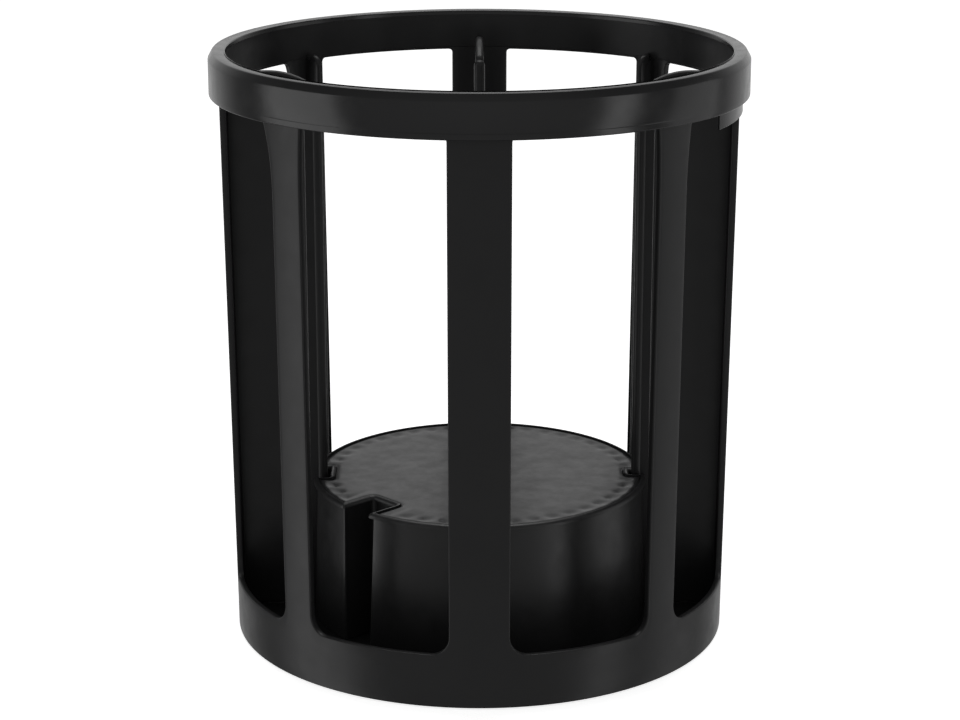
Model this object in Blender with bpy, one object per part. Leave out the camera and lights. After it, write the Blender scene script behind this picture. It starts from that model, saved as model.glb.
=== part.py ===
"""Round open-sided umbrella stand: a slatted cage, a lift-off collar and a weighted centre drum.

Metres, +Z up, origin at the centre of the foot plane.  Azimuth 0 is the front (-Y), and it grows
towards the right-hand side (+X).
"""
import math

import bmesh
import bpy

# --- driving dimensions -------------------------------------------------------------------------
RIM_RADIUS = 0.120                 # upper edge of the rim; the other sizes follow from it
HEIGHT = 2.267 * RIM_RADIUS
GAP = 0.0003                       # air between neighbouring pieces
WALL = 0.0030
CUT_MARGIN = 0.010                 # how far a cutter runs past what it cuts

# --- cage ---------------------------------------------------------------------------------------
BASE_RADIUS = 0.952 * RIM_RADIUS   # outside of the cage at the foot
NECK_RADIUS = 0.976 * RIM_RADIUS   # outside of the cage under the collar
FOOT_LIFT = 0.0006                 # the band hangs this far above the floor, on its rubber feet
BAND_TOP = 0.208 * RIM_RADIUS      # lower edge of the side openings
BAND_BEVEL = 0.0006
COLLAR_BOTTOM = 2.106 * RIM_RADIUS
FLOOR_UNDERSIDE = 0.0025
FLOOR_THICKNESS = 0.0030
FLOOR_TOP = FLOOR_UNDERSIDE + FLOOR_THICKNESS

WIDE_SLAT_AZIMUTHS = {"front": 0.0, "right": 90.0, "rear": 180.0, "left": 270.0}
WIDE_SLAT_SPAN = 13.3              # degrees
NARROW_SLAT_AZIMUTHS = {"front_right": 44.9, "rear_right": 134.2, "rear_left": 225.8, "front_left": 315.1}
NARROW_SLAT_SPAN = 8.6

# --- guide fins and ribs ------------------------------------------------------------------------
FIN_THICKNESS = 0.0040
FIN_BEAD_RADIUS = 0.0026
FIN_INNER_RADIUS = 0.594 * RIM_RADIUS
FIN_CREST = 2.179 * RIM_RADIUS     # top of the fin's hump
FIN_CREST_RADIUS = 0.800 * RIM_RADIUS
FIN_SHOULDER = 0.062 * RIM_RADIUS  # fall from the crest to the fin's inner corner
FIN_HUMP_POWER = 2.2
FIN_HUMP_STEPS = 12
RIB_THICKNESS = 0.0036
RIB_INNER_RADIUS = 0.880 * RIM_RADIUS
RIB_CREST = 2.135 * RIM_RADIUS
RIB_ROUNDING = 0.0050
RIB_ROOT = 0.0010                  # how far a rib runs into its slat

# --- collar -------------------------------------------------------------------------------------
COLLAR_RADIUS = 1.013 * RIM_RADIUS
COLLAR_SKIRT = 0.0040
COLLAR_FLANGE = 0.0020
COLLAR_INNER_RADIUS = NECK_RADIUS - WALL   # flush with the ring's inner face
COLLAR_BEVEL = 0.0018
TAB_AZIMUTH = 80.7                 # finger tab under the collar's right-hand side
TAB_SPAN = 40.0
TAB_THICKNESS = 0.0010
TAB_DROP = 0.0075
RING_TOP = HEIGHT - COLLAR_FLANGE - GAP

# --- drum ---------------------------------------------------------------------------------------
DRUM_RADIUS = 0.652 * RIM_RADIUS
DRUM_TOP = 0.596 * RIM_RADIUS
DRUM_WALL = 0.0025
DRUM_BOTTOM = FLOOR_TOP + GAP
GUIDE_SLOT_HALF_WIDTHS = dict.fromkeys(WIDE_SLAT_AZIMUTHS, FIN_BEAD_RADIUS + 0.0008)
GUIDE_SLOT_HALF_WIDTHS["left"] = 0.0080   # one slot is broader than the others
GUIDE_SLOT_FLOOR = FIN_INNER_RADIUS - 0.0012
GRIP_SLOT_AZIMUTH = 314.0
GRIP_SLOT_HALF_WIDTH = 0.0078
GRIP_SLOT_FLOOR = 0.500 * RIM_RADIUS
CAP_THICKNESS = 0.0035
CAP_RECESS = 0.0005
PLATE_THICKNESS = 0.0040
BALLAST_RADIUS = 0.0550
BALLAST_HEIGHT = 0.0250
BALLAST_BEVEL = 0.0015

# --- screws and feet ----------------------------------------------------------------------------
SCREW_COUNT = 3
SCREW_CIRCLE = 0.0350
SCREW_HEAD_RADIUS = 0.0040
SCREW_HEAD_PLAY = 0.0005
SCREW_HEAD_HEIGHT = 0.0016
SCREW_SHANK_RADIUS = 0.0020
SCREW_SHANK_LENGTH = 0.0120
COUNTERBORE_DEPTH = 0.0020
FOOT_RADIUS = 0.0080
FOOT_THICKNESS = FLOOR_UNDERSIDE - GAP
FOOT_CIRCLE = 0.0880
FOOT_COUNT = 4

RING_SEGMENTS = 96
ARC_STEP = 2.5                     # degrees between points along a slat or a drum wall


# --- materials ----------------------------------------------------------------------------------
def make_material(name, colour, roughness, metallic=0.0):
    material = bpy.data.materials.new(name)
    material.use_nodes = True
    shader = material.node_tree.nodes["Principled BSDF"]
    shader.inputs["Base Color"].default_value = (*colour, 1.0)
    shader.inputs["Roughness"].default_value = roughness
    shader.inputs["Metallic"].default_value = metallic
    material.diffuse_color = (*colour, 1.0)
    return material


def own_material(name):
    """Each sub-part has a material of its own, chosen by what it is made of."""
    if name.startswith("foot"):
        return make_material(name, (0.030, 0.030, 0.030), 0.85)
    if name.startswith("screw"):
        return make_material(name, (0.620, 0.620, 0.600), 0.35, 1.0)
    if name == "drum_ballast":
        return make_material(name, (0.090, 0.088, 0.085), 0.60, 1.0)
    if name.startswith("drum"):
        return make_material(name, (0.034, 0.034, 0.035), 0.42)
    return make_material(name, (0.024, 0.024, 0.025), 0.36)


# --- shape helpers ------------------------------------------------------------------------------
def at(azimuth, radius, sideways=0.0):
    """Point in plan at an azimuth in degrees, with an offset along the tangent."""
    angle = math.radians(azimuth)
    x = radius * math.sin(angle) + sideways * math.cos(angle)
    y = -radius * math.cos(angle) + sideways * math.sin(angle)
    return x, y


def cage_outer(z):
    """Outer radius of the slightly tapered cage wall."""
    return BASE_RADIUS + (NECK_RADIUS - BASE_RADIUS) * z / COLLAR_BOTTOM


def cage_inner(z):
    return cage_outer(z) - WALL


def wall_section(low, high):
    """The four (radius, z) corners of the cage wall between two heights."""
    return [(cage_inner(low), low), (cage_outer(low), low),
            (cage_outer(high), high), (cage_inner(high), high)]


def link_mesh(name, mesh_data, smooth_angle=40.0):
    bmesh.ops.recalc_face_normals(mesh_data, faces=mesh_data.faces[:])
    mesh = bpy.data.meshes.new(name)
    mesh_data.to_mesh(mesh)
    mesh_data.free()
    mesh.shade_smooth()
    mesh.set_sharp_from_angle(angle=math.radians(smooth_angle))
    thing = bpy.data.objects.new(name, mesh)
    bpy.context.collection.objects.link(thing)
    mesh.materials.append(own_material(name))
    return thing


def turned(name, profile, closed, segments=RING_SEGMENTS):
    """Revolve (radius, z) points about Z.  A closed profile is a ring; an open one ends on the axis."""
    mesh_data = bmesh.new()
    columns = []
    for step in range(segments):
        angle = 360.0 * step / segments
        column = []
        for radius, z in profile:
            if radius == 0.0 and step > 0:
                column.append(columns[0][len(column)])
            else:
                column.append(mesh_data.verts.new((*at(angle, radius), z)))
        columns.append(column)
    rows = len(profile) if closed else len(profile) - 1
    for step in range(segments):
        near = columns[step]
        far = columns[(step + 1) % segments]
        for row in range(rows):
            above = (row + 1) % len(profile)
            corners = []
            for vertex in (near[row], far[row], far[above], near[above]):
                if vertex not in corners:
                    corners.append(vertex)
            mesh_data.faces.new(corners)
    return link_mesh(name, mesh_data)


def prism(name, outline, low, high):
    """Upright solid from a closed outline in plan."""
    mesh_data = bmesh.new()
    floor = [mesh_data.verts.new((x, y, low)) for x, y in outline]
    roof = [mesh_data.verts.new((x, y, high)) for x, y in outline]
    mesh_data.faces.new(floor)
    mesh_data.faces.new(roof)
    for index in range(len(outline)):
        following = (index + 1) % len(outline)
        mesh_data.faces.new((floor[index], floor[following], roof[following], roof[index]))
    return link_mesh(name, mesh_data, 30.0)


def radial_plate(name, azimuth, profile, thickness):
    """Upright plate on a radius: a (radius, z) outline with half its thickness either side."""
    mesh_data = bmesh.new()
    sides = []
    for sideways in (-thickness / 2.0, thickness / 2.0):
        sides.append([mesh_data.verts.new((*at(azimuth, radius, sideways), z)) for radius, z in profile])
    mesh_data.faces.new(sides[0])
    mesh_data.faces.new(sides[1])
    for index in range(len(profile)):
        following = (index + 1) % len(profile)
        mesh_data.faces.new((sides[0][index], sides[0][following], sides[1][following], sides[1][index]))
    return link_mesh(name, mesh_data)


def combine(target, other, operation):
    """Exact Boolean of a hidden helper into a sub-part."""
    other.hide_render = True
    other.display_type = "WIRE"
    modifier = target.modifiers.new(other.name, "BOOLEAN")
    modifier.object = other
    modifier.operation = operation
    modifier.solver = "EXACT"


def bevel(thing, width, segments=2, angle=50.0):
    modifier = thing.modifiers.new("edges", "BEVEL")
    modifier.width = width
    modifier.segments = segments
    modifier.limit_method = "ANGLE"
    modifier.angle_limit = math.radians(angle)


def arc(centre, radius, start, end, steps):
    """Points of an arc in a (radius, z) or plan outline, angles in degrees."""
    points = []
    for step in range(steps + 1):
        angle = math.radians(start + (end - start) * step / steps)
        points.append((centre[0] + radius * math.cos(angle), centre[1] + radius * math.sin(angle)))
    return points


# --- cage ---------------------------------------------------------------------------------------
def make_base():
    band = turned("base_band", wall_section(FOOT_LIFT, BAND_TOP - GAP), True)
    bevel(band, BAND_BEVEL)
    edge = cage_inner(0.0) - GAP
    profile = [(0.0, FLOOR_UNDERSIDE), (edge, FLOOR_UNDERSIDE), (edge, FLOOR_TOP), (0.0, FLOOR_TOP)]
    turned("base_floor", profile, False)


def curved_wall(name, azimuth, span, section):
    """Sector of a ring, from its four (radius, z) section corners."""
    steps = max(2, round(span / ARC_STEP))
    start = azimuth - span / 2.0
    mesh_data = bmesh.new()
    loops = []
    for radius, z in section:
        row = [(*at(start + span * step / steps, radius), z) for step in range(steps + 1)]
        loops.append([mesh_data.verts.new(point) for point in row])
    for index in range(len(loops)):
        near = loops[index]
        far = loops[(index + 1) % len(loops)]
        for step in range(steps):
            mesh_data.faces.new((near[step], near[step + 1], far[step + 1], far[step]))
    mesh_data.faces.new([loop[0] for loop in loops])
    mesh_data.faces.new([loop[-1] for loop in loops])
    return link_mesh(name, mesh_data)


def make_slat(name, azimuth, span):
    """Curved upright wall between the base band and the upper ring."""
    return curved_wall(name, azimuth, span, wall_section(BAND_TOP, COLLAR_BOTTOM - GAP))


def make_fin(name, azimuth):
    """Deep guide fin: humped at the top, with a rounded bead down its inner edge."""
    foot = FLOOR_TOP + GAP
    outer_foot = cage_inner(foot) - GAP
    outer_head = cage_inner(COLLAR_BOTTOM) - GAP
    head = FIN_CREST - FIN_SHOULDER
    inner = FIN_INNER_RADIUS + FIN_BEAD_RADIUS
    profile = [(inner, foot), (outer_foot, foot), (outer_head, head)]
    for step in range(1, FIN_HUMP_STEPS):
        radius = outer_head + (inner - outer_head) * step / FIN_HUMP_STEPS
        reach = (outer_head if radius > FIN_CREST_RADIUS else inner) - FIN_CREST_RADIUS
        fall = (radius - FIN_CREST_RADIUS) / reach
        profile.append((radius, FIN_CREST - FIN_SHOULDER * fall ** FIN_HUMP_POWER))
    profile.append((inner, head))
    fin = radial_plate(name, azimuth, profile, FIN_THICKNESS)
    centre = at(azimuth, inner)
    bead = prism("bead_" + name, arc(centre, FIN_BEAD_RADIUS, 0.0, 330.0, 11), foot, head)
    combine(fin, bead, "UNION")


def make_rib(slat, azimuth):
    """Shallow stiffening rib on the back of a narrow slat, rounded over at the top."""
    step_z = COLLAR_BOTTOM - 2.0 * GAP
    ring_side = cage_inner(COLLAR_BOTTOM) - 2.0 * GAP
    profile = [(cage_inner(BAND_TOP) + RIB_ROOT, BAND_TOP), (cage_inner(step_z) + RIB_ROOT, step_z),
               (ring_side, step_z), (ring_side, RIB_CREST)]
    nose = (RIB_INNER_RADIUS + RIB_ROUNDING, RIB_CREST - RIB_ROUNDING)
    profile += arc(nose, RIB_ROUNDING, 90.0, 180.0, 4)
    profile.append((RIB_INNER_RADIUS, BAND_TOP))
    combine(slat, radial_plate("rib_" + slat.name, azimuth, profile, RIB_THICKNESS), "UNION")


def make_cage():
    make_base()
    for side, azimuth in WIDE_SLAT_AZIMUTHS.items():
        make_slat("slat_" + side, azimuth, WIDE_SLAT_SPAN)
        make_fin("fin_" + side, azimuth)
    for side, azimuth in NARROW_SLAT_AZIMUTHS.items():
        make_rib(make_slat("slat_" + side, azimuth, NARROW_SLAT_SPAN), azimuth)
    inner, outer = cage_inner(COLLAR_BOTTOM), cage_outer(COLLAR_BOTTOM) - GAP
    profile = [(inner, COLLAR_BOTTOM), (outer, COLLAR_BOTTOM), (outer, RING_TOP), (inner, RING_TOP)]
    turned("upper_ring", profile, True)


# --- collar -------------------------------------------------------------------------------------
def make_collar():
    skirt = COLLAR_RADIUS - COLLAR_SKIRT
    shelf = HEIGHT - COLLAR_FLANGE
    corner = COLLAR_RADIUS - COLLAR_BEVEL
    profile = [(skirt, COLLAR_BOTTOM), (COLLAR_RADIUS - GAP, COLLAR_BOTTOM),
               (COLLAR_RADIUS, COLLAR_BOTTOM + GAP)]
    profile += arc((corner, HEIGHT - COLLAR_BEVEL), COLLAR_BEVEL, 0.0, 90.0, 3)
    profile += [(COLLAR_INNER_RADIUS, HEIGHT), (COLLAR_INNER_RADIUS, shelf), (skirt, shelf)]
    collar = turned("collar", profile, True)

    tab_inner = NECK_RADIUS + GAP
    tab_outer = tab_inner + TAB_THICKNESS
    tab_low, tab_high = COLLAR_BOTTOM - TAB_DROP, COLLAR_BOTTOM + TAB_DROP / 2.0
    section = [(tab_inner, tab_low), (tab_outer, tab_low), (tab_outer, tab_high), (tab_inner, tab_high)]
    combine(collar, curved_wall("pull_tab", TAB_AZIMUTH, TAB_SPAN, section), "UNION")


# --- drum ---------------------------------------------------------------------------------------
def drum_outline(inset):
    """Drum plan with its four guide slots and one grip slot, moved inwards by an inset."""
    slots = [(azimuth, GUIDE_SLOT_HALF_WIDTHS[side], GUIDE_SLOT_FLOOR)
             for side, azimuth in WIDE_SLAT_AZIMUTHS.items()]
    slots.append((GRIP_SLOT_AZIMUTH, GRIP_SLOT_HALF_WIDTH, GRIP_SLOT_FLOOR))
    slots.sort()
    radius = DRUM_RADIUS - inset
    points = []
    for index, (azimuth, half_width, slot_floor) in enumerate(slots):
        half = half_width + inset
        mouth = math.degrees(math.asin(half / radius))
        points.append(at(azimuth - mouth, radius))
        points.append(at(azimuth, slot_floor - inset, -half))
        points.append(at(azimuth, slot_floor - inset, half))
        following = slots[(index + 1) % len(slots)]
        next_mouth = math.degrees(math.asin((following[1] + inset) / radius))
        start = azimuth + mouth
        end = (following[0] - azimuth) % 360.0 + azimuth - next_mouth
        steps = max(2, round((end - start) / (2.0 * ARC_STEP)))
        points += [at(start + (end - start) * step / steps, radius) for step in range(steps)]
    return points


def screw_places():
    return [at(360.0 * number / SCREW_COUNT, SCREW_CIRCLE) for number in range(SCREW_COUNT)]


def drill(thing, radius, low, high):
    """Round hole in a sub-part at every screw."""
    for number, place in enumerate(screw_places(), start=1):
        drill_name = "drill_{}_{}_{}".format(thing.name, round(radius * 1e4), number)
        combine(thing, prism(drill_name, arc(place, radius, 0.0, 345.0, 23), low, high), "DIFFERENCE")


def make_drum():
    shell = prism("drum_shell", drum_outline(0.0), DRUM_BOTTOM, DRUM_TOP)
    cut_low, cut_high = DRUM_BOTTOM - CUT_MARGIN, DRUM_TOP + CUT_MARGIN
    hollow = prism("hollow_drum_shell", drum_outline(DRUM_WALL), cut_low, cut_high)
    combine(shell, hollow, "DIFFERENCE")
    inside = drum_outline(DRUM_WALL + GAP)
    cap_top = DRUM_TOP - CAP_RECESS
    prism("drum_cap", inside, cap_top - CAP_THICKNESS, cap_top)

    plate_top = DRUM_BOTTOM + PLATE_THICKNESS
    plate = prism("drum_base_plate", inside, DRUM_BOTTOM, plate_top)
    hole = SCREW_SHANK_RADIUS + GAP
    seat = DRUM_BOTTOM + COUNTERBORE_DEPTH
    drill(plate, hole, cut_low, plate_top + CUT_MARGIN)
    drill(plate, SCREW_HEAD_RADIUS + SCREW_HEAD_PLAY, cut_low, seat)

    ballast_low = plate_top + GAP
    ballast_high = ballast_low + BALLAST_HEIGHT
    edge = BALLAST_RADIUS - BALLAST_BEVEL
    profile = [(0.0, ballast_low), (edge, ballast_low), (BALLAST_RADIUS, ballast_low + BALLAST_BEVEL),
               (BALLAST_RADIUS, ballast_high - BALLAST_BEVEL), (edge, ballast_high), (0.0, ballast_high)]
    ballast = turned("drum_ballast", profile, False, 64)
    head_top = seat - GAP
    shank_top = head_top + SCREW_SHANK_LENGTH
    drill(ballast, hole, ballast_low - CUT_MARGIN, shank_top + 2.0 * GAP)

    head_low = head_top - SCREW_HEAD_HEIGHT
    screw = [(0.0, head_low), (SCREW_HEAD_RADIUS, head_low), (SCREW_HEAD_RADIUS, head_top),
             (SCREW_SHANK_RADIUS, head_top), (SCREW_SHANK_RADIUS, shank_top - SCREW_SHANK_RADIUS / 2.0),
             (SCREW_SHANK_RADIUS / 2.0, shank_top), (0.0, shank_top)]
    for number, place in enumerate(screw_places(), start=1):
        piece = turned("screw_{}".format(number), screw, False, 24)
        piece.location = (*place, 0.0)


def make_feet():
    profile = [(0.0, 0.0), (FOOT_RADIUS - GAP, 0.0), (FOOT_RADIUS, GAP), (FOOT_RADIUS, FOOT_THICKNESS),
               (0.0, FOOT_THICKNESS)]
    for number in range(FOOT_COUNT):
        foot = turned("foot_{}".format(number + 1), profile, False, 32)
        foot.location = (*at(45.0 + 360.0 * number / FOOT_COUNT, FOOT_CIRCLE), 0.0)


def main():
    for thing in list(bpy.data.objects):
        bpy.data.objects.remove(thing)
    make_cage()
    make_collar()
    make_drum()
    make_feet()


main()
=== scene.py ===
"""Looks of the umbrella stand: one cage moulding with fins and ribs, the collar, the drum and its cap.

The CAD frame gives every size and place; azimuth 0 is the front (-Y) and grows towards +X.
"""
import math

import bmesh
import bpy
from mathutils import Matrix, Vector


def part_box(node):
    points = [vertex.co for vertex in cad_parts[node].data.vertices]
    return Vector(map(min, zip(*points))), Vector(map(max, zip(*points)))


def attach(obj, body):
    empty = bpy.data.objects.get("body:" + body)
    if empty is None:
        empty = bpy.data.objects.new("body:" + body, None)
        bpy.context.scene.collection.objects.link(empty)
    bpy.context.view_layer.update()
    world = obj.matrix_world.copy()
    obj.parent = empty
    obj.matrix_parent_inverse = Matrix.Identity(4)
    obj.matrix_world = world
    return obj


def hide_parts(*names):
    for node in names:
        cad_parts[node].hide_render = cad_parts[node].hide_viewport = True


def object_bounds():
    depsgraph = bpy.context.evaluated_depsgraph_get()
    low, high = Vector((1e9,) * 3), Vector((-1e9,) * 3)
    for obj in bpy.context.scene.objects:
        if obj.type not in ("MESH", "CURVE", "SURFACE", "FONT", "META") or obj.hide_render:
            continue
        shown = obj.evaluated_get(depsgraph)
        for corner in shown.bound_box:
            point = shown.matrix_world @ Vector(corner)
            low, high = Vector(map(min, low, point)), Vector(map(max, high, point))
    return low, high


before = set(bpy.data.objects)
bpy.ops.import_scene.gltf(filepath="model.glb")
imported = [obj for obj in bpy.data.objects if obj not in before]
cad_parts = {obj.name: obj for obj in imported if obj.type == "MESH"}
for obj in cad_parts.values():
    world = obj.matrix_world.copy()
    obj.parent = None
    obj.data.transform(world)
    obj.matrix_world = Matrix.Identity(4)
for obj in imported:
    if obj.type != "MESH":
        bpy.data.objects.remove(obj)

cad_low, cad_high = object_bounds()

# --- sizes read from the frame ------------------------------------------------------------------
COLLAR_RADIUS = cad_high.x
COLLAR_TO_RIM = 1.013
RIM_RADIUS = COLLAR_RADIUS / COLLAR_TO_RIM
HEIGHT = cad_high.z
GAP = 0.0003
BAND_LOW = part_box("base_band")[0].z
BAND_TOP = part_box("slat_front")[0].z
BAND_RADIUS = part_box("base_band")[1].x
NECK_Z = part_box("upper_ring")[0].z
NECK_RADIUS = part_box("upper_ring")[1].x + GAP
RING_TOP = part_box("upper_ring")[1].z
FIN_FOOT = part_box("fin_right")[0].z
FIN_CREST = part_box("fin_right")[1].z
FIN_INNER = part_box("fin_right")[0].x
DRUM_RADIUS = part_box("drum_shell")[1].x
DRUM_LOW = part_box("drum_shell")[0].z
DRUM_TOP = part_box("drum_shell")[1].z
CAP_LOW, CAP_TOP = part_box("drum_cap")[0].z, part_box("drum_cap")[1].z

# --- cage ---------------------------------------------------------------------------------------
WALL = 0.0030
EDGE = 0.0006                      # rounding of the moulding's edges
HEAD_EDGE = 0.0001                 # the ring's head stays sharp under the collar
CAGE_HEAD = RING_TOP + 0.7 * GAP
WIDE_SLATS = {"front": 0.0, "right": 90.0, "rear": 180.0, "left": 270.0}      # azimuth of each slat
NARROW_SLATS = {"front_right": 44.9, "rear_right": 134.2, "rear_left": 225.8, "front_left": 315.1}
WIDE_SPAN = 13.3                   # degrees
NARROW_SPAN = 8.6
WINDOW_FOOT_RADIUS = 0.070 * RIM_RADIUS
WINDOW_HEAD_RADIUS = 0.016 * RIM_RADIUS
FLARE_LEFT = 0.046 * RIM_RADIUS    # how far a narrow slat spreads under the ring, away from the front
FLARE_RIGHT = 0.018 * RIM_RADIUS
FLARE_FRONT = 0.010 * RIM_RADIUS   # and towards the front
FLARE_DROP = 0.30 * RIM_RADIUS
FLARE_POWER = 2.6
FLARE_FADE = 1.6                   # how soon the spread fades from a window's side to its middle
CELL_MARGIN = 0.28                 # share of a wall cell given to each of its corners
ACROSS_STEPS = 20
SIDE_STEPS = 26
CORNER_STEPS = 10
FIELD_STEPS = 5

# --- fins and ribs ------------------------------------------------------------------------------
FIN_HALF = 0.0020
FIN_BEAD = 0.0026
FIN_CREST_RADIUS = 0.800 * RIM_RADIUS
FIN_SHOULDER = 0.062 * RIM_RADIUS
FIN_HUMP_POWER = 2.2
FIN_HUMP_STEPS = 24
FIN_HUMP_END = 0.6                 # where the hump stops short of the bead's middle, in bead radii
FIN_ROUNDING = 0.0017
BEAD_SEGMENTS = 24
BEAD_DOME_STEPS = 6
FIN_ROOT = 0.0012                  # how far a fin or rib runs into the wall
RIB_HALF = 0.0018
RIB_INNER = 0.880 * RIM_RADIUS
RIB_CREST = 2.135 * RIM_RADIUS
RIB_ROUNDING = 0.0060
RIB_FOOT = BAND_TOP - 0.0040
RIB_STEPS = 10
RIB_HEAD_STEPS = 8
RIB_EDGE_STEPS = 6

# --- collar -------------------------------------------------------------------------------------
COLLAR_SKIRT = 0.0040
COLLAR_FLANGE = 0.0020
RING_LINER = 0.0004                # the ring is this much thicker inside than the slats
RING_LINER_FOOT = NECK_Z + 0.0014
COLLAR_INNER = NECK_RADIUS - WALL - RING_LINER
COLLAR_STEP = 0.00025              # across the front, the collar's lower edge band stands back a little
COLLAR_STEP_HEIGHT = 0.0026
COLLAR_STEP_END, COLLAR_STEP_FADE = 50.0, 6.0
COLLAR_SIDE = ((0.0, 0.0), (0.0001, 0.15), (0.0003, 0.85), (0.0004, 1.0))   # (rise, share of the step)
COLLAR_SHOULDER = ((0.0, 0.0036), (0.00008, 0.0032), (0.00030, 0.0028), (0.00160, 0.0005),
                   (0.00185, 0.0002), (0.0022, 0.0))     # (in from the side, down from the top)
COLLAR_LIP = 0.0005
COLLAR_COLUMNS = 288
TAB_START, TAB_END = 60.7, 100.7
TAB_STEPS = 32
TAB_THICKNESS = 0.0010
TAB_DROP = 0.0075
TAB_ROUNDING = 0.00025

# --- drum ---------------------------------------------------------------------------------------
DRUM_WALL = 0.0025
GUIDE_HALF, BROAD_GUIDE_HALF = FIN_BEAD + 0.0008, 0.0080
GUIDE_FLOOR = FIN_INNER - 0.0012
GRIP_AZIMUTH, GRIP_HALF, GRIP_FLOOR = 314.0, 0.0078, 0.500 * RIM_RADIUS
SLOTS = ((0.0, GUIDE_HALF, GUIDE_FLOOR), (90.0, GUIDE_HALF, GUIDE_FLOOR), (180.0, GUIDE_HALF, GUIDE_FLOOR),
         (270.0, BROAD_GUIDE_HALF, GUIDE_FLOOR), (GRIP_AZIMUTH, GRIP_HALF, GRIP_FLOOR))
SHELL_ROUNDING = 0.0021
SHELL_ROUNDING_STEPS = 6
MOUTH_ROUNDING = 0.0018            # upright corners of the slots
MIN_MOUTH_ROUNDING = 0.0002
ROOT_ROUNDING = 0.0012
MAX_ROOT_SHARE = 0.45              # of a slot's depth
CORNER_POINTS = 4
DRUM_ARC_STEP = 1.5                # degrees
LID_ROUNDING = 0.0004
DIMPLE_COUNT = 46                  # shallow hollows round the lid, just inside its edge
DIMPLE_DEPTH = 0.00060
DIMPLE_RADIUS = DRUM_RADIUS - 0.0080
DIMPLE_WIDTH = 0.0026
LID_FIELD = 0.0105                 # width of the strip that holds the hollows
LID_ROWS = 12

# --- shading angles (degrees) -------------------------------------------------------------------
CAGE_SMOOTH = 42.0
RIB_SMOOTH = 50.0
TURNED_SMOOTH = 35.0
BEVEL_ANGLE = 28.0

# --- view ---------------------------------------------------------------------------------------
CAMERA_BACK = 9.5132 * RIM_RADIUS
CAMERA_HEIGHT = 3.7705 * RIM_RADIUS
CAMERA_PITCH = 15.97
CAMERA_YAW = -0.013
CAMERA_LENS = 95.84
FLOOR_GREY = 0.86
FLOOR_ROUGHNESS = 0.9
FLOOR_SPECULAR = 0.1
FLOOR_GLOW = 0.80
FLOOR_SIZE = 12.0
FLOOR_LEVEL = -0.0002              # just clear of the feet
# brightness of the room from the front, 0, to the rear, 1
ROOM = ((0.0, 0.40), (0.35, 0.20), (0.58, 0.12), (0.75, 0.16), (0.95, 0.72))
WHITE = (1.0, 1.0, 1.0, 1.0)
STRIPS = (("left_strip", -76.0, 0.60, 3.2), ("right_strip", 57.0, 0.22, 1.3),
          ("far_right_strip", 97.0, 0.45, 1.0))   # azimuth, width, watts
STRIP_DISTANCE = 0.9
STRIP_HEIGHT = -0.1
STRIP_LENGTH = 1.4
TOP_PLACE = (0.0, 0.5, 1.6)
TOP_WIDTH, TOP_DEPTH = 1.2, 0.9
TOP_POWER = 8.96


# --- materials ----------------------------------------------------------------------------------
CLOUD_SCALE = 38.0
SMEAR_SCALE = 110.0
SMEAR_LOW, SMEAR_HIGH = 0.3, 0.7   # the stretch of the smear noise that the sheen follows
GRAIN_DEPTH = 0.0001


def node(tree, kind, **values):
    """New shader node with its input values set by name, underscores standing for spaces."""
    made = tree.nodes.new(kind)
    for key, value in values.items():
        made.inputs[key.replace("_", " ")].default_value = value
    return made


def moulded(name, dark, light, rough, grain, grain_scale=1600.0, metallic=0.0, specular=0.5):
    """Moulded or cast surface: cloudy colour, uneven sheen and a fine grain."""
    material = bpy.data.materials.new(name)
    material.use_nodes = True
    tree = material.node_tree
    shader = tree.nodes["Principled BSDF"]
    shader.inputs["Metallic"].default_value = metallic
    shader.inputs["Specular IOR Level"].default_value = specular
    place = tree.nodes.new("ShaderNodeTexCoord")

    cloud = node(tree, "ShaderNodeTexNoise", Scale=CLOUD_SCALE, Detail=4.0, Roughness=0.6)
    tree.links.new(place.outputs["Object"], cloud.inputs["Vector"])
    tint = tree.nodes.new("ShaderNodeMix")
    tint.data_type = "RGBA"
    tint.inputs[6].default_value = (*dark, 1.0)
    tint.inputs[7].default_value = (*light, 1.0)
    tree.links.new(cloud.outputs["Fac"], tint.inputs[0])
    tree.links.new(tint.outputs[2], shader.inputs["Base Color"])

    smear = node(tree, "ShaderNodeTexNoise", Scale=SMEAR_SCALE, Detail=5.0, Roughness=0.65)
    tree.links.new(place.outputs["Object"], smear.inputs["Vector"])
    sheen = node(tree, "ShaderNodeMapRange", From_Min=SMEAR_LOW, From_Max=SMEAR_HIGH,
                 To_Min=rough[0], To_Max=rough[1])
    tree.links.new(smear.outputs["Fac"], sheen.inputs["Value"])
    tree.links.new(sheen.outputs["Result"], shader.inputs["Roughness"])

    fine = node(tree, "ShaderNodeTexNoise", Scale=grain_scale, Detail=2.0, Roughness=0.5)
    tree.links.new(place.outputs["Object"], fine.inputs["Vector"])
    bump = node(tree, "ShaderNodeBump", Strength=grain, Distance=GRAIN_DEPTH)
    tree.links.new(fine.outputs["Fac"], bump.inputs["Height"])
    tree.links.new(bump.outputs["Normal"], shader.inputs["Normal"])
    return material


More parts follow.
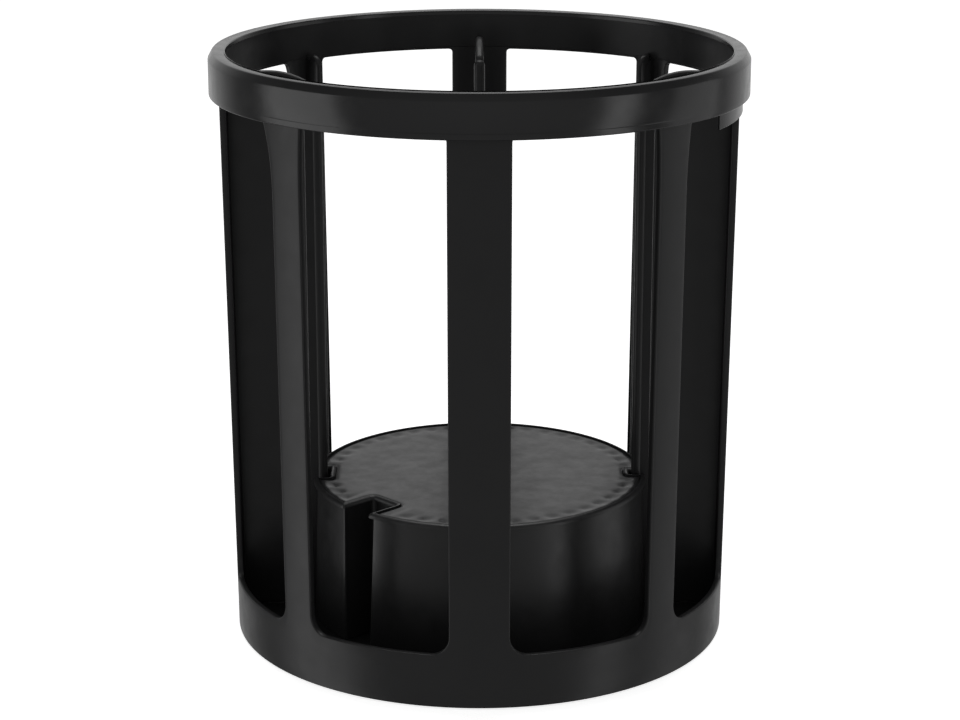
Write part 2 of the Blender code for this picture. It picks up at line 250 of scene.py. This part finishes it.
CAGE_PLASTIC = moulded("cage_plastic", (0.0130, 0.0130, 0.0135), (0.0180, 0.0180, 0.0185),
                       rough=(0.30, 0.40), grain=0.10, specular=0.32)
COLLAR_PLASTIC = moulded("collar_plastic", (0.0090, 0.0090, 0.0095), (0.0130, 0.0130, 0.0135),
                         rough=(0.17, 0.26), grain=0.08, specular=0.46)
DRUM_PLASTIC = moulded("drum_plastic", (0.0140, 0.0140, 0.0145), (0.0215, 0.0215, 0.0220),
                       rough=(0.30, 0.44), grain=0.14, specular=0.46)
RUBBER = moulded("foot_rubber", (0.018, 0.018, 0.018), (0.030, 0.030, 0.030),
                 rough=(0.75, 0.90), grain=0.30, grain_scale=900.0)
IRON = moulded("ballast_iron", (0.060, 0.058, 0.056), (0.110, 0.104, 0.098),
               rough=(0.50, 0.70), grain=0.45, grain_scale=700.0, metallic=1.0)
STEEL = moulded("screw_steel", (0.52, 0.52, 0.50), (0.66, 0.66, 0.63),
                rough=(0.25, 0.38), grain=0.05, grain_scale=2200.0, metallic=1.0)


# --- geometry helpers ---------------------------------------------------------------------------
def at(azimuth, radius, sideways=0.0):
    """Point in plan at an azimuth in degrees, with an offset along the tangent."""
    angle = math.radians(azimuth)
    x = radius * math.sin(angle) + sideways * math.cos(angle)
    y = -radius * math.cos(angle) + sideways * math.sin(angle)
    return x, y


def cage_outer(z):
    """Outer radius of the tapered cage wall, straight between the band's top and the neck."""
    share = (z - BAND_TOP) / (NECK_Z - BAND_TOP)
    return BAND_RADIUS + (NECK_RADIUS - BAND_RADIUS) * share


def finish_piece(name, mesh_data, material, body, replaced=(), smooth_angle=CAGE_SMOOTH):
    """Mesh data into a piece that rides on its body and stands for its CAD nodes."""
    bmesh.ops.remove_doubles(mesh_data, verts=mesh_data.verts[:], dist=1e-6)
    bmesh.ops.recalc_face_normals(mesh_data, faces=mesh_data.faces[:])
    mesh = bpy.data.meshes.new(name)
    mesh_data.to_mesh(mesh)
    mesh_data.free()
    mesh.shade_smooth()
    mesh.set_sharp_from_angle(angle=math.radians(smooth_angle))
    mesh.materials.append(material)
    piece = bpy.data.objects.new(name, mesh)
    bpy.context.scene.collection.objects.link(piece)
    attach(piece, body)
    if replaced:
        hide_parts(*replaced)
    return piece


def skin(mesh_data, rows, closed_rows=True, closed_columns=False):
    """Quads between rows of points; each row is a list of coordinates."""
    grid = [[mesh_data.verts.new(point) for point in row] for row in rows]
    row_count = len(grid) if closed_columns else len(grid) - 1
    for index in range(row_count):
        near = grid[index]
        far = grid[(index + 1) % len(grid)]
        column_count = len(near) if closed_rows else len(near) - 1
        for column in range(column_count):
            following = (column + 1) % len(near)
            mesh_data.faces.new((near[column], near[following], far[following], far[column]))
    return grid


def quarter_round(size, steps=3):
    """(inset, depth) pairs round an edge, from the outer face over to the edge's own wall."""
    pairs = []
    for step in range(steps + 1):
        angle = math.radians(90.0 * step / steps)
        pairs.append((size * (1.0 - math.sin(angle)), size * (1.0 - math.cos(angle))))
    return pairs


def full_circle(count):
    """Evenly spaced azimuths, without the repeat of the first."""
    return [360.0 * column / count for column in range(count)]


def rounded(piece, width, segments=4):
    """Rounding over a piece's sharp edges."""
    modifier = piece.modifiers.new("rounding", "BEVEL")
    modifier.width = width
    modifier.segments = segments
    modifier.limit_method = "ANGLE"
    modifier.angle_limit = math.radians(BEVEL_ANGLE)
    modifier.harden_normals = True


# --- cage moulding ------------------------------------------------------------------------------
MEAN_RADIUS = (BAND_RADIUS + NECK_RADIUS) / 2.0


def along(azimuth):
    """Length round the cage for an azimuth."""
    return math.radians(azimuth) * MEAN_RADIUS


def on_wall(length, z, depth):
    """Point on the cage wall at a length round it, a depth in from its outer face."""
    return (*at(math.degrees(length / MEAN_RADIUS), cage_outer(z) - depth), z)


def flare(z, amount):
    """Spread of a narrow slat under the ring, eased in from below."""
    share = max(0.0, min(1.0, (z - (NECK_Z - FLARE_DROP)) / FLARE_DROP))
    return amount * share ** FLARE_POWER


def window_outline(window, inset):
    """Rounded opening, anticlockwise from its lower left corner, grown outwards by an inset."""
    left, right, flare_left, flare_right = window
    left, right = left - inset, right + inset
    low, high = BAND_TOP - inset, NECK_Z + GAP + inset
    foot, head = WINDOW_FOOT_RADIUS + inset, WINDOW_HEAD_RADIUS + inset
    points = []

    def edge(x, z):
        """Slats that flare push the window's sides inwards near its top."""
        middle = (left + right) / 2.0
        share = (x - middle) / ((right - left) / 2.0)
        push = flare(z, flare_left) if share < 0.0 else -flare(z, flare_right)
        points.append((x + push * min(1.0, abs(share) * FLARE_FADE), z))

    def corner(x, z, radius, start):
        for step in range(CORNER_STEPS):
            angle = math.radians(start + 90.0 * step / CORNER_STEPS)
            edge(x + radius * math.cos(angle), z + radius * math.sin(angle))

    for step in range(ACROSS_STEPS):
        edge(left + foot + (right - left - 2.0 * foot) * step / ACROSS_STEPS, low)
    corner(right - foot, low + foot, foot, -90.0)
    for step in range(SIDE_STEPS):
        edge(right, low + foot + (high - head - low - foot) * step / SIDE_STEPS)
    corner(right - head, high - head, head, 0.0)
    for step in range(ACROSS_STEPS):
        edge(right - head - (right - left - 2.0 * head) * step / ACROSS_STEPS, high)
    corner(left + head, high - head, head, 90.0)
    for step in range(SIDE_STEPS):
        edge(left, high - head - (high - head - low - foot) * step / SIDE_STEPS)
    corner(left + foot, low + foot, foot, 180.0)
    return points


def cell_outline(cell, low, high):
    """Edge of the wall around one window, with a point for every point of the window's outline."""
    left, right = cell
    foot_z = BAND_TOP + WINDOW_FOOT_RADIUS
    head_z = NECK_Z + GAP - WINDOW_HEAD_RADIUS
    margin = (right - left) * CELL_MARGIN
    half = CORNER_STEPS // 2
    points = []

    def run(start, end, steps):
        for step in range(steps):
            share = step / steps
            points.append((start[0] + (end[0] - start[0]) * share, start[1] + (end[1] - start[1]) * share))

    run((left + margin, low), (right - margin, low), ACROSS_STEPS)
    run((right - margin, low), (right, low), half)
    run((right, low), (right, foot_z), half)
    run((right, foot_z), (right, head_z), SIDE_STEPS)
    run((right, head_z), (right, high), half)
    run((right, high), (right - margin, high), half)
    run((right - margin, high), (left + margin, high), ACROSS_STEPS)
    run((left + margin, high), (left, high), half)
    run((left, high), (left, head_z), half)
    run((left, head_z), (left, foot_z), SIDE_STEPS)
    run((left, foot_z), (left, low), half)
    run((left, low), (left + margin, low), half)
    return points


def between(first, second, share):
    """Outline part of the way from one outline to another."""
    return [(a[0] + (b[0] - a[0]) * share, a[1] + (b[1] - a[1]) * share) for a, b in zip(first, second)]


def cage_cells():
    """Eight windows, each with the wall from the middle of one slat to the middle of the next."""
    slats = [(azimuth, WIDE_SPAN / 2.0, 0.0, 0.0) for azimuth in WIDE_SLATS.values()]
    for azimuth in NARROW_SLATS.values():
        on_left = azimuth > 180.0
        at_front = azimuth < 90.0 or azimuth > 270.0
        to_side = FLARE_LEFT if on_left else FLARE_RIGHT
        to_middle = FLARE_FRONT if at_front else 0.0
        before, after = (to_side, to_middle) if on_left == at_front else (to_middle, to_side)
        slats.append((azimuth, NARROW_SPAN / 2.0, before, after))
    slats.sort()
    for index, slat in enumerate(slats):
        following = slats[(index + 1) % len(slats)]
        end = following[0] if index + 1 < len(slats) else 360.0
        window = (along(slat[0] + slat[1]), along(end - following[1]), slat[3], following[2])
        yield window, (along(slat[0]), along(end))


def make_cage():
    """Band, slats and upper ring as one wall, cell by cell, with rounded window edges."""
    mesh_data = bmesh.new()
    low, high = BAND_LOW + EDGE, CAGE_HEAD - HEAD_EDGE
    for window, cell in cage_cells():
        border = cell_outline(cell, low, high)
        mouth = window_outline(window, EDGE)
        field = [between(border, mouth, step / FIELD_STEPS) for step in range(FIELD_STEPS + 1)]
        rows = [[on_wall(length, z, 0.0) for length, z in ring] for ring in field]
        over = quarter_round(EDGE)[1:]
        for inset, depth in over:
            rows.append([on_wall(length, z, depth) for length, z in window_outline(window, inset)])
        for inset, depth in reversed(over):
            rows.append([on_wall(length, z, WALL - depth) for length, z in window_outline(window, inset)])
        rows += [[on_wall(length, z, WALL) for length, z in ring] for ring in reversed(field)]
        skin(mesh_data, rows)

        for level, way, size in ((low, -1.0, EDGE), (high, 1.0, HEAD_EDGE)):
            line = sorted({length for length, z in border if z == level} | set(cell))
            rounding = [(size - inset, depth) for inset, depth in quarter_round(size)]
            rounding += [(out, WALL - depth) for out, depth in reversed(rounding)]
            rows = []
            for out, depth in rounding:
                rows.append([(*on_wall(length, level, depth)[:2], level + way * out) for length in line])
            skin(mesh_data, rows, closed_rows=False)
    slats = ["slat_" + side for side in (*WIDE_SLATS, *NARROW_SLATS)]
    finish_piece("cage_moulding", mesh_data, CAGE_PLASTIC, "cage",
                 ["base_band", "upper_ring"] + slats)


# --- fins and ribs ------------------------------------------------------------------------------
def make_rib(name, azimuth, path):
    """Upright rib standing in from the wall, with a rounded free edge along a (radius, z) path."""
    mesh_data = bmesh.new()
    rows = []
    for index, (radius, z) in enumerate(path):
        before = Vector(path[max(index - 1, 0)])
        after = Vector(path[min(index + 1, len(path) - 1)])
        run = (after - before).normalized()
        inward = Vector((-run.y, run.x))
        crest = Vector((radius, z))
        root = Vector((cage_outer(min(z, NECK_Z)) - WALL + FIN_ROOT, z))
        neck = crest - inward * RIB_HALF * 2.0
        centre = crest - inward * RIB_HALF
        row = [(root, -RIB_HALF), (neck, -RIB_HALF)]
        for step in range(RIB_EDGE_STEPS + 1):
            angle = math.pi * step / RIB_EDGE_STEPS
            row.append((centre + inward * RIB_HALF * math.sin(angle), -RIB_HALF * math.cos(angle)))
        row += [(neck, RIB_HALF), (root, RIB_HALF)]
        rows.append([(*at(azimuth, place[0], sideways), place[1]) for place, sideways in row])
    grid = skin(mesh_data, rows, closed_rows=False)
    mesh_data.faces.new(grid[0])
    mesh_data.faces.new(list(reversed(grid[-1])))
    for index in range(len(grid) - 1):
        mesh_data.faces.new((grid[index][0], grid[index + 1][0], grid[index + 1][-1], grid[index][-1]))
    finish_piece(name, mesh_data, CAGE_PLASTIC, "cage", smooth_angle=RIB_SMOOTH)


def fin_outline():
    """(radius, z) outline of a fin: upright inner edge, a hump, and a root inside the wall."""
    head = FIN_CREST - FIN_SHOULDER
    inner = FIN_INNER + FIN_BEAD
    root_foot = cage_outer(FIN_FOOT) - WALL + FIN_ROOT
    root_head = cage_outer(NECK_Z) - WALL + FIN_ROOT
    outline = [(inner, FIN_FOOT), (root_foot, FIN_FOOT), (root_head, head)]
    for step in range(1, FIN_HUMP_STEPS):
        radius = root_head + (inner - root_head) * step / FIN_HUMP_STEPS
        reach = (root_head if radius > FIN_CREST_RADIUS else inner) - FIN_CREST_RADIUS
        fall = (radius - FIN_CREST_RADIUS) / reach
        outline.append((radius, FIN_CREST - FIN_SHOULDER * fall ** FIN_HUMP_POWER))
    outline[-1] = (inner + FIN_BEAD * FIN_HUMP_END, outline[-1][1])
    outline.append((inner, head - FIN_BEAD))
    return outline


def make_fin(side, azimuth):
    """Flat guide fin with rounded edges, and a domed bead down its inner edge."""
    mesh_data = bmesh.new()
    faces = [[(*at(azimuth, radius, sideways), z) for radius, z in fin_outline()]
             for sideways in (-FIN_HALF, FIN_HALF)]
    grid = skin(mesh_data, faces)
    mesh_data.faces.new(grid[0])
    mesh_data.faces.new(grid[1])
    fin = finish_piece("guide_fin_" + side, mesh_data, CAGE_PLASTIC, "cage",
                       ["fin_" + side])
    rounded(fin, FIN_ROUNDING)

    x, y = at(azimuth, FIN_INNER + FIN_BEAD)
    head = FIN_CREST - FIN_SHOULDER
    levels = [(0.0, FIN_FOOT)]
    for inset, drop in reversed(quarter_round(FIN_BEAD, BEAD_DOME_STEPS)[1:]):
        levels.append((inset, head - drop))
    mesh_data = bmesh.new()
    rows = []
    for inset, z in levels:
        ring = [at(angle, FIN_BEAD - inset) for angle in full_circle(BEAD_SEGMENTS)]
        rows.append([(x + across, y + along_y, z) for across, along_y in ring])
    grid = skin(mesh_data, rows)
    mesh_data.faces.new(grid[0])
    mesh_data.faces.new(grid[-1])
    finish_piece("fin_bead_" + side, mesh_data, CAGE_PLASTIC, "cage")


def make_fins():
    for side, azimuth in WIDE_SLATS.items():
        make_fin(side, azimuth)


def make_ribs():
    """Shallow ribs down the backs of the narrow slats, rounded over at the top."""
    straight = RIB_CREST - RIB_ROUNDING
    path = []
    for step in range(RIB_STEPS + 1):
        path.append((RIB_INNER, RIB_FOOT + (straight - RIB_FOOT) * step / RIB_STEPS))
    centre = RIB_INNER + RIB_ROUNDING
    for step in range(1, RIB_HEAD_STEPS + 1):
        angle = math.radians(90.0 * step / RIB_HEAD_STEPS)
        path.append((centre - RIB_ROUNDING * math.cos(angle), straight + RIB_ROUNDING * math.sin(angle)))
    for side, azimuth in NARROW_SLATS.items():
        make_rib("rib_" + side, azimuth, path)


# --- collar -------------------------------------------------------------------------------------
def collar_step(azimuth):
    """Depth of the step above the collar's lower edge, which fades out towards the sides."""
    from_front = abs((azimuth + 180.0) % 360.0 - 180.0)
    return COLLAR_STEP * max(0.0, min(1.0, (COLLAR_STEP_END - from_front) / COLLAR_STEP_FADE))


def collar_profile(azimuth):
    """(radius, z) section of the collar: lip, side with its step, shoulder, rim and flange."""
    skirt = COLLAR_RADIUS - COLLAR_SKIRT
    step = collar_step(azimuth)
    profile = [(skirt, NECK_Z)]
    for inset, rise in reversed(quarter_round(COLLAR_LIP)):
        profile.append((COLLAR_RADIUS - step - rise, NECK_Z + inset))
    for rise, share in COLLAR_SIDE:
        profile.append((COLLAR_RADIUS - step * (1.0 - share), NECK_Z + COLLAR_STEP_HEIGHT + rise))
    for width, drop in COLLAR_SHOULDER:
        profile.append((COLLAR_RADIUS - width, HEIGHT - drop))
    for inset, drop in reversed(quarter_round(COLLAR_LIP)):
        profile.append((COLLAR_INNER + inset, HEIGHT - drop))
    shelf = HEIGHT - COLLAR_FLANGE
    return profile + [(COLLAR_INNER, shelf), (skirt, shelf)]


def turn(mesh_data, azimuths, profile_at, closed):
    """Skin over a (radius, z) section carried round the axis."""
    columns = [[(*at(azimuth, radius), z) for radius, z in profile_at(azimuth)] for azimuth in azimuths]
    return skin(mesh_data, columns, closed_columns=closed)


def make_collar():
    """Collar ring with the finger tab that hangs below it."""
    mesh_data = bmesh.new()
    turn(mesh_data, full_circle(COLLAR_COLUMNS), collar_profile, True)
    finish_piece("collar_ring", mesh_data, COLLAR_PLASTIC, "collar", ["collar"],
                 smooth_angle=TURNED_SMOOTH)

    inner, outer = NECK_RADIUS + GAP, NECK_RADIUS + GAP + TAB_THICKNESS
    low, high = NECK_Z - TAB_DROP, NECK_Z + TAB_DROP / 2.0
    section = [(inner, low), (outer, low), (outer, high), (inner, high)]
    azimuths = [TAB_START + (TAB_END - TAB_START) * step / TAB_STEPS for step in range(TAB_STEPS + 1)]
    mesh_data = bmesh.new()
    grid = turn(mesh_data, azimuths, lambda azimuth: section, False)
    mesh_data.faces.new(grid[0])
    mesh_data.faces.new(grid[-1])
    tab = finish_piece("collar_finger_tab", mesh_data, COLLAR_PLASTIC, "collar",
                       smooth_angle=TURNED_SMOOTH)
    rounded(tab, TAB_ROUNDING, segments=2)


def make_ring_liner():
    """Inner face of the upper ring, a little proud of the slats below it."""
    inner, outer = COLLAR_INNER, COLLAR_INNER + 3.0 * RING_LINER
    low, high = RING_LINER_FOOT, CAGE_HEAD
    profile = [(outer, low)]
    for inset, rise in reversed(quarter_round(RING_LINER)):
        profile.append((inner + rise, low + inset))
    profile += [(inner, high), (outer, high)]
    mesh_data = bmesh.new()
    turn(mesh_data, full_circle(COLLAR_COLUMNS), lambda azimuth: profile, True)
    finish_piece("ring_liner", mesh_data, CAGE_PLASTIC, "cage", smooth_angle=TURNED_SMOOTH)


# --- drum ---------------------------------------------------------------------------------------
def soft_corner(before, corner, after, size):
    """Corner of an outline as a short curve from one side to the next."""
    corner = Vector(corner)
    entry = corner + (Vector(before) - corner).normalized() * size
    leave = corner + (Vector(after) - corner).normalized() * size
    points = []
    for step in range(CORNER_POINTS + 1):
        share = step / CORNER_POINTS
        point = entry * (1.0 - share) ** 2 + corner * 2.0 * share * (1.0 - share) + leave * share ** 2
        points.append(tuple(point))
    return points


def slot_mouth(slot, inset):
    """Degrees from a slot's middle to its mouth's corner, the rounding there, and its sweep in degrees."""
    radius = DRUM_RADIUS - inset
    lip = max(MIN_MOUTH_ROUNDING, MOUTH_ROUNDING - inset)
    return math.degrees(math.asin((slot[1] + inset) / radius)), lip, math.degrees(lip / radius)


def drum_outline(inset):
    """Drum plan with its four guide slots and one grip slot, moved inwards by an inset."""
    radius = DRUM_RADIUS - inset
    points = []
    for index, slot in enumerate(SLOTS):
        azimuth, half, floor_radius = slot[0], slot[1] + inset, slot[2] - inset
        mouth, lip, sweep = slot_mouth(slot, inset)
        depth = radius * math.cos(math.radians(mouth)) - floor_radius
        root = min(ROOT_ROUNDING + inset, MAX_ROOT_SHARE * depth)
        corners = [at(azimuth - mouth - sweep, radius), at(azimuth - mouth, radius),
                   at(azimuth, floor_radius, -half), at(azimuth, floor_radius, half),
                   at(azimuth + mouth, radius), at(azimuth + mouth + sweep, radius)]
        for place, size in ((1, lip), (2, root), (3, root), (4, lip)):
            points += soft_corner(corners[place - 1], corners[place], corners[place + 1], size)
        following = SLOTS[(index + 1) % len(SLOTS)]
        next_mouth, _, next_sweep = slot_mouth(following, inset)
        gap = (following[0] - azimuth) % 360.0
        start, end = azimuth + mouth + sweep, azimuth + gap - next_mouth - next_sweep
        steps = round(gap / DRUM_ARC_STEP)
        points += [at(start + (end - start) * step / steps, radius) for step in range(1, steps)]
    return points


def lifted(outline, z):
    """Plan outline at a height."""
    return [(x, y, z) for x, y in outline]


def lid_height(x, y):
    """Top of the lid, with its ring of shallow hollows."""
    beside = (math.hypot(x, y) - DIMPLE_RADIUS) / DIMPLE_WIDTH
    round_it = 0.5 + 0.5 * math.cos(DIMPLE_COUNT * math.atan2(y, x))
    return CAP_TOP - DIMPLE_DEPTH * math.exp(-beside * beside) * round_it


def make_drum():
    """Drum shell, and the lid let into its top."""
    mesh_data = bmesh.new()
    outer, inner = drum_outline(0.0), drum_outline(DRUM_WALL)
    rows = [lifted(outer, DRUM_LOW)]
    for inset, drop in reversed(quarter_round(SHELL_ROUNDING, SHELL_ROUNDING_STEPS)):
        rows.append(lifted(drum_outline(drop), DRUM_TOP - inset))
    rows += [lifted(inner, DRUM_TOP), lifted(inner, DRUM_LOW)]
    skin(mesh_data, rows, closed_columns=True)
    finish_piece("drum_body", mesh_data, DRUM_PLASTIC, "drum", ["drum_shell"],
                 smooth_angle=TURNED_SMOOTH)

    mesh_data = bmesh.new()
    edge = DRUM_WALL + GAP
    rows = [lifted(drum_outline(edge), CAP_LOW)]
    for inset, drop in reversed(quarter_round(LID_ROUNDING)):
        rows.append(lifted(drum_outline(edge + drop), CAP_TOP - inset))
    for step in range(1, LID_ROWS + 1):
        outline = drum_outline(edge + LID_ROUNDING + LID_FIELD * step / LID_ROWS)
        rows.append([(x, y, lid_height(x, y)) for x, y in outline])
    grid = skin(mesh_data, rows)
    mesh_data.faces.new(list(reversed(grid[0])))
    mesh_data.faces.new(grid[-1])
    finish_piece("drum_lid", mesh_data, DRUM_PLASTIC, "drum", ["drum_cap"],
                 smooth_angle=TURNED_SMOOTH)


# --- pieces kept from the frame -----------------------------------------------------------------
def dress(names, material):
    """Material on nodes that stay as the frame has them."""
    for name in names:
        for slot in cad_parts[name].material_slots:
            slot.material = material


# --- view and light -----------------------------------------------------------------------------
def make_camera():
    data = bpy.data.cameras.new("camera")
    data.lens = CAMERA_LENS
    camera = bpy.data.objects.new("camera", data)
    camera.location = (0.0, -CAMERA_BACK, CAMERA_HEIGHT)
    camera.rotation_euler = (math.radians(90.0 - CAMERA_PITCH), 0.0, math.radians(CAMERA_YAW))
    bpy.context.scene.collection.objects.link(camera)
    bpy.context.scene.camera = camera


def soft_light(name, place, target, width, height, power):
    """Area light at a place, turned to its target and not seen itself."""
    data = bpy.data.lights.new(name, "AREA")
    data.shape = "RECTANGLE"
    data.size = width
    data.size_y = height
    data.energy = power
    light = bpy.data.objects.new(name, data)
    light.location = place
    light.visible_camera = False
    light.rotation_euler = (Vector(target) - Vector(place)).to_track_quat("-Z", "Y").to_euler()
    bpy.context.scene.collection.objects.link(light)


def make_floor():
    bpy.ops.mesh.primitive_plane_add(size=FLOOR_SIZE, location=(0.0, 0.0, FLOOR_LEVEL))
    floor = bpy.context.object
    floor.name = "studio_floor"
    material = bpy.data.materials.new("studio_floor")
    material.use_nodes = True
    shader = material.node_tree.nodes["Principled BSDF"]
    shader.inputs["Base Color"].default_value = (FLOOR_GREY, FLOOR_GREY, FLOOR_GREY, 1.0)
    shader.inputs["Roughness"].default_value = FLOOR_ROUGHNESS
    shader.inputs["Specular IOR Level"].default_value = FLOOR_SPECULAR
    shader.inputs["Emission Color"].default_value = WHITE
    shader.inputs["Emission Strength"].default_value = FLOOR_GLOW
    floor.data.materials.append(material)
    # the floor is seen, but throws no light up into the dark plastic
    floor.visible_diffuse = False
    floor.visible_glossy = False
    floor.visible_shadow = False


def make_room():
    """Soft grey surroundings, brighter at the rear, behind a plain white backdrop."""
    world = bpy.data.worlds.new("studio")
    bpy.context.scene.world = world
    world.use_nodes = True
    tree = world.node_tree
    backdrop = tree.nodes["Background"]
    output = tree.nodes["World Output"]
    place = tree.nodes.new("ShaderNodeTexCoord")
    split = tree.nodes.new("ShaderNodeSeparateXYZ")
    tree.links.new(place.outputs["Generated"], split.inputs["Vector"])
    share = node(tree, "ShaderNodeMapRange", From_Min=-1.0, From_Max=1.0, To_Min=0.0, To_Max=1.0)
    tree.links.new(split.outputs["Y"], share.inputs["Value"])
    room = tree.nodes.new("ShaderNodeValToRGB")
    stops = room.color_ramp.elements
    while len(stops) < len(ROOM):
        stops.new(0.5)
    for stop, (position, brightness) in zip(stops, ROOM):
        stop.position = position
        stop.color = (brightness, brightness, brightness, 1.0)
    tree.links.new(share.outputs["Result"], room.inputs["Fac"])
    tree.links.new(room.outputs["Color"], backdrop.inputs["Color"])
    backdrop.inputs["Strength"].default_value = 1.0
    white = node(tree, "ShaderNodeBackground", Color=WHITE, Strength=1.0)
    path = tree.nodes.new("ShaderNodeLightPath")
    choose = tree.nodes.new("ShaderNodeMixShader")
    tree.links.new(path.outputs["Is Camera Ray"], choose.inputs[0])
    tree.links.new(backdrop.outputs["Background"], choose.inputs[1])
    tree.links.new(white.outputs["Background"], choose.inputs[2])
    tree.links.new(choose.outputs["Shader"], output.inputs["Surface"])


def make_lights():
    for name, azimuth, width, power in STRIPS:
        x, y = at(azimuth, STRIP_DISTANCE)
        soft_light(name, (x, y, STRIP_HEIGHT), (0.0, 0.0, STRIP_HEIGHT), width, STRIP_LENGTH, power)
    soft_light("top_box", TOP_PLACE, (0.0, 0.0, HEIGHT / 2.0), TOP_WIDTH, TOP_DEPTH, TOP_POWER)


make_cage()
make_ring_liner()
make_fins()
make_ribs()
make_collar()
make_drum()
dress(["base_floor"], CAGE_PLASTIC)
dress(["drum_base_plate"], DRUM_PLASTIC)
dress(["drum_ballast"], IRON)
dress(["screw_1", "screw_2", "screw_3"], STEEL)
dress(["foot_1", "foot_2", "foot_3", "foot_4"], RUBBER)
make_camera()
make_floor()
make_room()
make_lights()
bpy.context.scene.view_settings.view_transform = "Standard"
